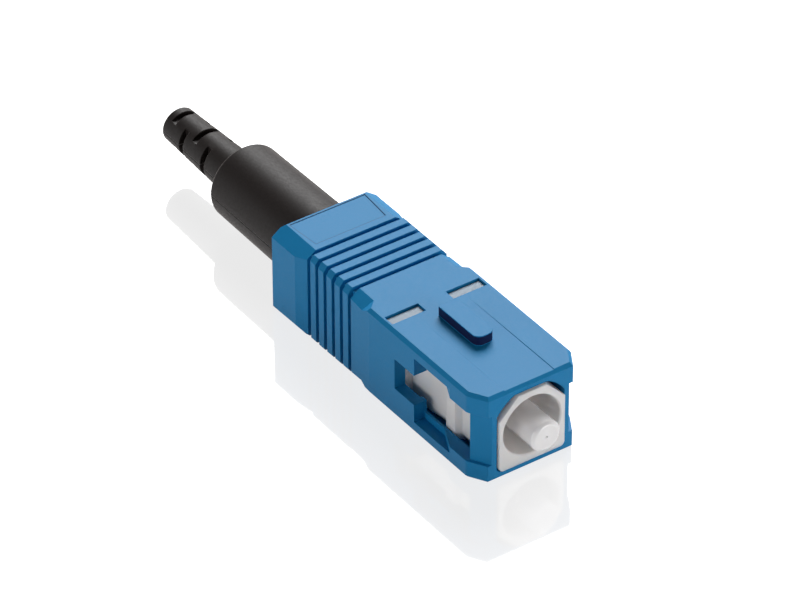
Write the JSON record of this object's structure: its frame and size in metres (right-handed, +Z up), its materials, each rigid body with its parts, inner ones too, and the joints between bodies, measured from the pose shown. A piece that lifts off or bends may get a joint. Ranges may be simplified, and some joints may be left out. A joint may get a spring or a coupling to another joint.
{
  "type": "fibre connector plug",
  "caption": "SC push-pull fibre optic plug: blue latching grip over a white frame with a sprung ceramic ferrule, and a black bend-relief boot.",
  "frame": {"origin": "middle of the plug's length and width, on the surface that the grip lies on", "axes": "+Y from the mating end towards the boot's tail, +Z up through the key, +X across"},
  "size_m": [0.0092, 0.0468, 0.0082],
  "materials": {
    "blue_plastic": "satin",
    "white_plastic": "satin",
    "zirconia": "polished",
    "nickel": "satin",
    "spring_steel": "satin",
    "tube_plastic": "satin",
    "black_rubber": "matte"
  },
  "bodies": {
    "core": {"plug_frame": "white_plastic", "stop_ring": "nickel", "crimp_sleeve": "nickel", "boot": "black_rubber", "spring": "spring_steel"},
    "grip": {"grip_housing": "blue_plastic"},
    "ferrule_unit": {"ferrule": "zirconia", "ferrule_flange": "nickel", "guide_tube": "tube_plastic"}
  },
  "joints": [
    {"name": "grip_slide", "type": "slide", "parent": "core", "child": "grip", "axis": [0, 1, 0], "range_m": [0, 0.0012]},
    {"name": "ferrule_float", "type": "slide", "parent": "core", "child": "ferrule_unit", "axis": [0, 1, 0], "range_m": [0, 0.0015], "stiffness_N_per_m": 2000, "deforming": ["spring"]}
  ]
}
